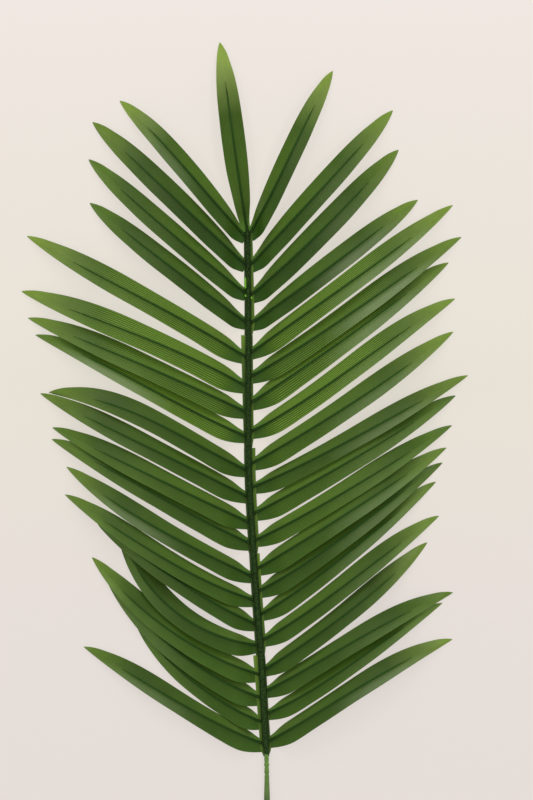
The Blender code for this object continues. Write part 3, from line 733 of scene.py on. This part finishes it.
# %% Fabric material
THREAD = 1.0  # spacing of the drawn threads in mm, four times the real 0.25 mm
BAND = 2 * math.pi / 20  # a wave texture of scale 1 repeats after this length
WEAVE, WEAVE_DEEP = 0.12, 0.3  # strength of the weave's bump, and its depth in mm
BIAS = math.radians(45)
SMOOTHER, MATT_FROM = -1.6, 1.5  # how the matt share falls along a leaflet, from this value at the root
ROUGH_SHARE, ROUGH_LEAST = 0.3, 0.32
ROUGH_STREAKS, ROUGH_EVEN = 0.12, -0.06  # how much the streaks change the roughness, and the middle of that
FACTS = ("along", "across", "vein", "ripe", "milky", "luck", "pale", "strip", "bare")


def dyed_pressed_polyester():
    made, tree, shader = new_material("dyed_pressed_polyester")
    node = partial(add_node, tree)
    fact = {name: node("Attribute", output="Fac", attribute_name=name) for name in FACTS}
    cloth = node("Attribute", output="Vector", attribute_name="cloth")
    streaks = streaks_of(node, cloth)
    colour = wear_and_sheen_colour(node, fact, cloth, streaks, dye_and_shade_colour(node, fact))

    # The strip's margins are painted dark beside the leaflets, as painted shade, and light where the strip
    # lies bare.
    strip = node("ValToRGB", {"Fac": fact["bare"]}, stops=STRIP_DYE_AND_SHADE)
    colour = node("Mix", {0: fact["strip"], 6: colour, 7: strip}, **COLOUR_MIX)

    threads = []
    for angle in (BIAS, -BIAS):
        turned = node("Mapping", {"Vector": cloth, "Rotation": (0, 0, angle)})
        threads.append(node("TexWave", {"Vector": turned, "Scale": BAND / THREAD}, output="Fac",
                            wave_type="BANDS", bands_direction="X"))
    weave = node("Math", {0: threads[0], 1: threads[1]}, operation="ADD")
    bump = node("Bump", {"Height": weave, "Strength": WEAVE, "Distance": WEAVE_DEEP * MM}, output="Normal")

    matt = node("Math", {0: fact["along"], 1: SMOOTHER, 2: MATT_FROM}, operation="MULTIPLY_ADD",
                use_clamp=True)
    rough = node("Math", {0: matt, 1: ROUGH_SHARE, 2: ROUGH_LEAST}, operation="MULTIPLY_ADD")
    uneven = node("Math", {0: streaks, 1: ROUGH_STREAKS, 2: ROUGH_EVEN}, operation="MULTIPLY_ADD")
    rough = node("Math", {0: rough, 1: uneven}, operation="ADD")
    set_inputs(tree, shader, {"Base Color": colour, "Roughness": rough, "Normal": bump, "IOR": 1.46,
                              "Specular IOR Level": 0.22})
    return made


fabric = dyed_pressed_polyester()
for number, panel in enumerate(panels):
    panel.data.materials.append(fabric)
    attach(panel, "root")
    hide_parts(f"panel_{number + 1}")
print("fabric has", len(fabric.node_tree.nodes), "nodes")

# %% [markdown]
# ## Ribs
#
# Each panel has one moulding: a sleeve with a rounded back over the midrib, and a rib along
# the fold of every leaflet. A rib is widest at the sleeve, where it flares into it, and ends
# in a fine point well before the leaflet's tip. It is a loft: a section is drawn at places along a
# line, and quads join each section to the next. A curve with a bevel would be quicker to make, but
# its section couldn't be flat below.

# %% Lofts and ribs
GAP = 0.3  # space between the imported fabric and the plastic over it
CAD_FABRIC = 0.7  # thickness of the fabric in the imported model
RIB_REACH = 0.79  # where along a leaflet its rib ends
RIB_ROOT, RIB_FULL = (2.3, 2.0), (1.4, 0.6)  # width and height at the sleeve, and at the other end
RIB_FLARE, FLARE_LONG = 0.7, 0.07  # how much wider a rib is where it meets the sleeve, and how far out
RIB_POINT, POINT_LONG, RIB_THIN = 0.9, 0.1, 0.85  # start and length of its point, and how far it thins
RIB_SQUARE = 0.8  # how square its back is: 1 is half an ellipse
RIB_STEPS, RIB_SIDES = 40, 10
RIB_SUNK = 2.3  # distance from the midrib at which a rib starts, in the sleeve's wall
BEDDED = 0.1  # how deep plastic is bedded in the fabric below it


def loft_faces(rings, sides):
    """Quads between rings of points, and a cap on each end."""
    faces = []
    for i in range(rings - 1):
        for j in range(sides):
            k = (j + 1) % sides
            faces.append((i * sides + j, (i + 1) * sides + j, (i + 1) * sides + k, i * sides + k))
    faces.append(tuple(range(sides)))
    faces.append(tuple((rings - 1) * sides + j for j in reversed(range(sides))))
    return faces


def turned_over(faces):
    """The same faces, seen from the other side."""
    return [tuple(reversed(face)) for face in faces]


def rib_points(leaf, side):
    """Rings of points along one rib, and how far each is along it."""
    ease = np.linspace(0, 1, RIB_STEPS)
    start = 0.0 if leaf is TERMINAL else RIB_SUNK / leaf.reach
    t = start + (RIB_REACH - start) * ease
    x, y = rib_line(leaf, side, t)
    over_x, over_y = across(leaf, side, t)
    flare = RIB_FLARE * (1 - smooth(ease / FLARE_LONG))
    point = 1 - smooth((ease - RIB_POINT) / POINT_LONG) * RIB_THIN
    wide = (RIB_ROOT[0] + (RIB_FULL[0] - RIB_ROOT[0]) * ease + flare) * point
    tall = (RIB_ROOT[1] + (RIB_FULL[1] - RIB_ROOT[1]) * ease) * point
    under = underside(leaf, side, x, y, 0.0)
    foot = np.maximum(under + FABRIC, STRIP_TOP) - BEDDED
    crest = np.maximum(under + CAD_FABRIC, STRIP_TOP) + GAP + tall
    turn = np.linspace(0, np.pi, RIB_SIDES)[None, :]
    off = np.cos(turn) * wide[:, None] / 2
    z = foot[:, None] + (crest - foot)[:, None] * np.sin(turn) ** RIB_SQUARE
    points = as_points(x[:, None] + over_x[:, None] * off, y[:, None] + over_y[:, None] * off, z)
    return points, np.repeat(ease, RIB_SIDES)


print("rib of the tip leaflet has", len(rib_points(TERMINAL, -1)[0]), "points")

# %% [markdown]
# ## Sleeves and stubs
#
# A sleeve is a loft too, with a low lip at each joint and a tapered nose at the blade's lower end.
# The top moulding has three light stubs beside the sleeve, where it was broken off the runner of its
# mould.

# %% Sleeves and stubs
SLEEVE_HALF = (3.5, 2.6)  # half width at the blade's lower end and at its top
SLEEVE_RISE, SLEEVE_ROUND = 1.95, 0.75  # height over half width, and how round: 1 is half an ellipse
SLEEVE_NOSE, NOSE_LENGTH = 2.4, 14.0  # half width of the nose, and its length
SLEEVE_ROWS, SLEEVE_SIDES = 70, 28
SLEEVE_BEDDED = 0.05  # how deep a sleeve is bedded in the strip
LIP, LIP_LONG, LIP_FADES = 0.12, 1.6, 1.0  # height of the lip, its length, and how soon it fades
EDGE, EDGE_LONG = 0.25, 0.4  # rounded edge of a sleeve's end
FAR = 99.0  # stands for no joint at that end
# Place beside the midrib, lower and upper end, half width and height of each stub.
STUBS = ((-2.6, 435.5, 446.0, 1.2, 6.2), (-2.4, 427.7, 429.9, 1.1, 5.6), (2.9, 425.8, 428.0, 1.1, 5.2))
STUB_RINGS = 14
STUB_BLUNT, STUB_END, STUB_SQUARE = 6, 0.02, 0.5  # how square a stub is in plan and in section


def up_the_leaf(y, foot_value, top_value):
    """A size that changes evenly from the blade's lower end to its top."""
    return foot_value + (top_value - foot_value) * np.clip(y / BLADE_TOP, 0, 1)


def sleeve_points(number):
    """Rings of points along one sleeve, with a lip at each joint."""
    low, high = panel_span(number)
    y = np.linspace(low, high, SLEEVE_ROWS)
    half = up_the_leaf(y, *SLEEVE_HALF)
    half = SLEEVE_NOSE + (half - SLEEVE_NOSE) * smooth((y - BLADE_FOOT) / NOSE_LENGTH)
    from_end = np.minimum(y - low if number < LAST_PANEL else FAR, high - y if number > 0 else FAR)
    half = half + LIP * (1 - smooth((from_end - LIP_LONG) / LIP_FADES))
    half = half - EDGE * (1 - smooth(from_end / EDGE_LONG))
    turn = np.linspace(0, np.pi, SLEEVE_SIDES)[None, :]
    base = STRIP_TOP - SLEEVE_BEDDED
    x = midrib_x(y)[:, None] + half[:, None] * np.cos(turn)
    z = base + GAP + half[:, None] * SLEEVE_RISE * np.sin(turn) ** SLEEVE_ROUND
    z[:, 0] = z[:, -1] = base
    return as_points(x, y[:, None], z)


def stub_points(off, low, high, half, top):
    """Rings of points along a short bar of light plastic."""
    ease = np.linspace(0, 1, STUB_RINGS)
    y = low + (high - low) * ease
    wide = half * np.sqrt(np.clip(1 - (2 * ease - 1) ** STUB_BLUNT, STUB_END, 1))
    turn = np.linspace(0, np.pi, RIB_SIDES)[None, :]
    x = midrib_x(y)[:, None] + off + wide[:, None] * np.cos(turn)
    z = STRIP_TOP - BEDDED + (top - STRIP_TOP) * np.sin(turn) ** STUB_SQUARE
    return as_points(x, y[:, None], z)


print("stubs", len(STUBS), "and sleeve half widths", SLEEVE_HALF, "mm")

# %% [markdown]
# ## Mouldings
#
# A moulding comes out of its mould in one piece, so its sleeve, ribs and stubs are one mesh. Each
# point also keeps how far out along its rib it lies, for the colour, and a stub has the number -1.

# %% Mouldings
MOULDING_SHARP = 50


def make_moulding(number):
    """One sleeve and the ribs of its panel."""
    points = sleeve_points(number)
    lofts = [(points, loft_faces(SLEEVE_ROWS, SLEEVE_SIDES), np.zeros(len(points)))]
    for leaf, side in panel_leaflets(number):
        points, ease = rib_points(leaf, side)
        faces = loft_faces(RIB_STEPS, RIB_SIDES)
        lofts.append((points, turned_over(faces) if side < 0 else faces, ease))
    for stub in STUBS if number == 0 else ():
        points = stub_points(*stub)
        lofts.append((points, loft_faces(STUB_RINGS, RIB_SIDES), np.full(len(points), -1.0)))
    all_faces = []
    start = 0
    for points, faces, _ in lofts:
        all_faces += [tuple(v + start for v in face) for face in faces]
        start += len(points)
    all_points = np.concatenate([points for points, *_ in lofts])
    made = mesh_object(f"moulded_ribs_{number + 1}", all_points, all_faces, MOULDING_SHARP)
    add_attribute(made, "out", "FLOAT", "value", np.concatenate([out for *_, out in lofts]))
    return made


mouldings = [make_moulding(number) for number in range(PANELS)]
print("faces in each moulding", [len(made.data.polygons) for made in mouldings])

# %% [markdown]
# ## Moulded polyethylene
#
# The sleeves and ribs are injection-moulded polyethylene. It is dark green right through, soft to the
# touch, and has the dull skin of a fine spark-eroded mould, so it mirrors little. Its index of
# refraction is 1.51. The grit of that mould is about 0.1 mm, drawn here at 0.6 mm so that it shows a
# little. The sleeves were handled most and are patchy, and the ribs are more even.

# %% Moulded plastic
GRIT = 0.6  # size of the drawn grain in mm
BLOOM = 1.6  # size of the darker and lighter patches in mm
MOULDING_DYE = ((0.0, "#274314"), (0.05, "#1d3f0c"), (0.6, "#1e420c"), (1.0, "#25490f"))
PATCHES = ((0.4, "#86938a"), (0.5, "#cdcdcd"), (0.6, "#ffffff"))


def moulded_polyethylene():
    made, tree, shader = new_material("moulded_polyethylene")
    node = partial(add_node, tree)
    place = node("TexCoord", output="Object")
    grain = node("TexNoise", {"Vector": place, "Scale": 1 / (GRIT * MM), "Detail": 2.0}, output="Fac")
    cloud = node("TexNoise", {"Vector": place, "Scale": 1 / (BLOOM * MM), "Detail": 3.0}, output="Fac")
    out = node("Attribute", output="Fac", attribute_name="out")
    colour = node("ValToRGB", {"Fac": out}, stops=MOULDING_DYE)
    patch = node("ValToRGB", {"Fac": cloud}, stops=PATCHES)
    patchy = node("MapRange", {"Value": out, "From Max": 0.05, "To Min": 1.0, "To Max": 0.15})
    colour = node("Mix", {0: patchy, 6: colour, 7: patch}, blend_type="MULTIPLY", **COLOUR_MIX)
    stub = node("Math", {0: out, 1: -0.5}, operation="LESS_THAN")
    colour = node("Mix", {0: stub, 6: colour, 7: linear("#6fb02a")}, **COLOUR_MIX)
    bump = node("Bump", {"Height": grain, "Strength": 0.2, "Distance": 0.1 * MM}, output="Normal")
    set_inputs(tree, shader, {"Base Color": colour, "Normal": bump, "Roughness": 0.72, "IOR": 1.51,
                              "Specular IOR Level": 0.15})
    return made


plastic = moulded_polyethylene()
for number, moulding in enumerate(mouldings):
    moulding.data.materials.append(plastic)
    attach(moulding, "root")
    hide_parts(f"ribs_{number + 1}")
print("moulded plastic has", len(plastic.node_tree.nodes), "nodes")

# %% [markdown]
# ## Stem and wire
#
# Below the lowest sleeve the coat of the stem shows. It was squeezed where the leaf was pushed on, so
# it is knobbly there, and then it widens to the bare stem. A curve with a bevel could make a stem, but
# not the knobs. So both pieces are rings of points round one route, and the core stays in its coat.

# %% Route of the stem
STEM_AXIS = 4.0  # height of the stem's centre in the sleeves
STEM_OUTSIDE, STEM_NECK = 2.8, 2.15  # radius of the bare stem, and just below the blade
STEM_INSIDE = (1.9, 1.5)  # radius in the lowest sleeve and in the top one
STEM_FOOT, STEM_TOP, WIRE_TOP = -200.0, 478.0, 470.0
NECK_LENGTH, NECK_WIDENS = 22.0, (16.0, 42.0)  # how far down the knobs go, and where the coat widens
KNOB, KNOB_PITCH, KNOBS_FADE = 0.2, 6.0, 8.0  # height and pitch of the knobs, and how soon they fade
FINE_KNOB, FINE_PITCH = 0.7, 0.6  # height and pitch of the knobs between, as shares of the others
ROUND = 28  # points in a ring


def stem_radius(y):
    """Radius of the coat, knobbly just below the blade."""
    below = BLADE_FOOT - y
    body = STEM_NECK + (STEM_OUTSIDE - STEM_NECK) * smooth(
        (below - NECK_WIDENS[0]) / (NECK_WIDENS[1] - NECK_WIDENS[0]))
    lumps = np.sin(2 * np.pi * below / KNOB_PITCH)
    lumps = lumps + FINE_KNOB * np.sin(2 * np.pi * below / (FINE_PITCH * KNOB_PITCH) + 1)
    knob = KNOB * lumps * (1 - smooth((below - NECK_LENGTH) / KNOBS_FADE + 1))
    return np.where(y > BLADE_FOOT - 1, up_the_leaf(y, *STEM_INSIDE), body + knob)


def stem_height(y):
    """Height of the stem's centre: level in the sleeves, then down to the surface."""
    share = smooth((BLADE_FOOT - y) / (BLADE_FOOT - STEM_FOOT))
    return STEM_AXIS + (STEM_OUTSIDE - STEM_AXIS) * share


def rings(y, radius):
    """Rings of points round the stem's route."""
    turn = np.linspace(0, 2 * np.pi, ROUND, endpoint=False)[None, :]
    y = np.asarray(y, float)[:, None]
    radius = np.asarray(radius, float)[:, None]
    x = midrib_x(y) + radius * np.cos(turn)
    z = stem_height(y) + radius * np.sin(turn)
    return as_points(x, y, z)


print("stem radius at the cut end", float(stem_radius(np.array([STEM_FOOT]))[0]), "mm")

# %% [markdown]
# ## Coat and core
#
# At the cut end the coat is open and the steel core looks out. The coat is a tube: an outer wall, an
# inner wall and a ring between them at the cut end. It is one loft that runs down the outside, turns
# in at the cut and runs up the inside. The core is a plain loft.

# %% Stem and wire shapes
WIRE = 0.9  # radius of the steel core
WIRE_FREE = 0.05  # gap between the core and its coat
STEM_EDGE, WIRE_EDGE = 0.3, 0.15  # bevels at the cut end
STEM_SHARP = 35
STEM_ROWS, BORE_ROWS = 60, 80
NARROWS = (1.2, 0.8)  # the coat narrows between these distances below the blade


def make_stem():
    bare = np.linspace(STEM_FOOT, BLADE_FOOT - NECK_LENGTH, STEM_ROWS)[:-1]
    neck = np.linspace(BLADE_FOOT - NECK_LENGTH, BLADE_FOOT - NARROWS[0], STEM_ROWS)
    inside = np.linspace(BLADE_FOOT - NARROWS[1], STEM_TOP, STEM_ROWS)
    y = np.concatenate([[STEM_FOOT], bare + STEM_EDGE, neck, inside])
    radius = stem_radius(y)
    radius[0] -= STEM_EDGE
    bore_y = np.linspace(STEM_FOOT, WIRE_TOP + GAP, BORE_ROWS)
    bore = np.full(len(bore_y), WIRE + WIRE_FREE)
    points = np.concatenate([rings(y[::-1], radius[::-1]), rings(bore_y, bore)])
    faces = turned_over(loft_faces(len(y) + len(bore_y), ROUND))
    return mesh_object("coated_stem", points, faces, STEM_SHARP)


def make_wire():
    y = np.linspace(STEM_FOOT + 1, WIRE_TOP, BORE_ROWS)
    y = np.concatenate([[STEM_FOOT, STEM_FOOT + WIRE_EDGE], y])
    radius = np.full(len(y), WIRE)
    radius[0] -= WIRE_EDGE
    return mesh_object("steel_core", rings(y, radius), loft_faces(len(y), ROUND), STEM_SHARP)


stem, wire = make_stem(), make_wire()
print("stem and wire", len(stem.data.polygons), len(wire.data.polygons), "faces")

# %% [markdown]
# ## Extruded polyethylene
#
# The coat was drawn over the wire through a round die, which leaves faint lines along it and a
# smoother skin than a mould does. The eye sees a soft sheen along the stem. It is the same plastic as
# the ribs, with the same index of refraction, in a brighter green that turns olive away from the
# blade. The lines are noise that is stretched along the stem. Lines of 0.1 mm wouldn't show, so they
# are drawn 0.4 mm apart.

# %% Coat of the stem
DIE_LINE, DIE_LINE_LONG = 0.4, 0.05  # width of the drawn lines in mm, and width over length
PATCHES_PER_MM = 0.09
COAT_DYE = ((0.0, "#40581a"), (1.0, "#5e8a2a"))
COAT_PATCHES = ((0.3, "#cfcfcf"), (0.7, "#ffffff"))
OLIVE_FROM, BRIGHT_FROM = -50.0, -12.0  # places up the leaf, in mm


def extruded_polyethylene():
    made, tree, shader = new_material("extruded_polyethylene")
    node = partial(add_node, tree)
    place = node("TexCoord", output="Object")
    drawn = node("Mapping", {"Vector": place, "Scale": (1.0, DIE_LINE_LONG, 1.0)})
    lines = node("TexNoise", {"Vector": drawn, "Scale": 1 / (DIE_LINE * MM)}, output="Fac")
    cloud = node("TexNoise", {"Vector": place, "Scale": PATCHES_PER_MM / MM}, output="Fac")
    patch = node("ValToRGB", {"Fac": cloud}, stops=COAT_PATCHES)
    up = node("SeparateXYZ", {0: place}, output="Y")
    near = node("MapRange", {"Value": up, "From Min": OLIVE_FROM * MM, "From Max": BRIGHT_FROM * MM})
    dye = node("ValToRGB", {"Fac": near}, stops=COAT_DYE)
    colour = node("Mix", {0: 1.0, 6: dye, 7: patch}, blend_type="MULTIPLY", **COLOUR_MIX)
    bump = node("Bump", {"Height": lines, "Strength": 0.15, "Distance": 0.1 * MM}, output="Normal")
    set_inputs(tree, shader, {"Base Color": colour, "Normal": bump, "Roughness": 0.5, "IOR": 1.51})
    return made


coat = extruded_polyethylene()
stem.data.materials.append(coat)
print("coat has", len(coat.node_tree.nodes), "nodes")

# %% [markdown]
# ## Drawn steel
#
# The core is plain steel wire, pulled cold through a die. Only its cut end shows, as a small bright
# disc. It is metallic, so its base colour is the colour that it mirrors, and the scratches of the
# cutter make that uneven. They are drawn three to a millimetre, which is coarser than real ones.

# %% Steel core
MARKS_PER_MM = 3.0
STEEL = ((0.3, "#7c7f83"), (0.7, "#a4a7aa"))


def drawn_steel():
    made, tree, shader = new_material("drawn_steel")
    place = add_node(tree, "TexCoord", output="Object")
    marks = add_node(tree, "TexNoise", {"Vector": place, "Scale": MARKS_PER_MM / MM}, output="Fac")
    colour = add_node(tree, "ValToRGB", {"Fac": marks}, stops=STEEL)
    set_inputs(tree, shader, {"Base Color": colour, "Metallic": 1.0, "Roughness": 0.35})
    return made


wire.data.materials.append(drawn_steel())
for piece, node_name, slot in ((stem, "stem", "stem_plastic"), (wire, "wire", "wire_steel")):
    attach(piece, "root")
    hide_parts(node_name)
print("materials", [material.name for material in bpy.data.materials])
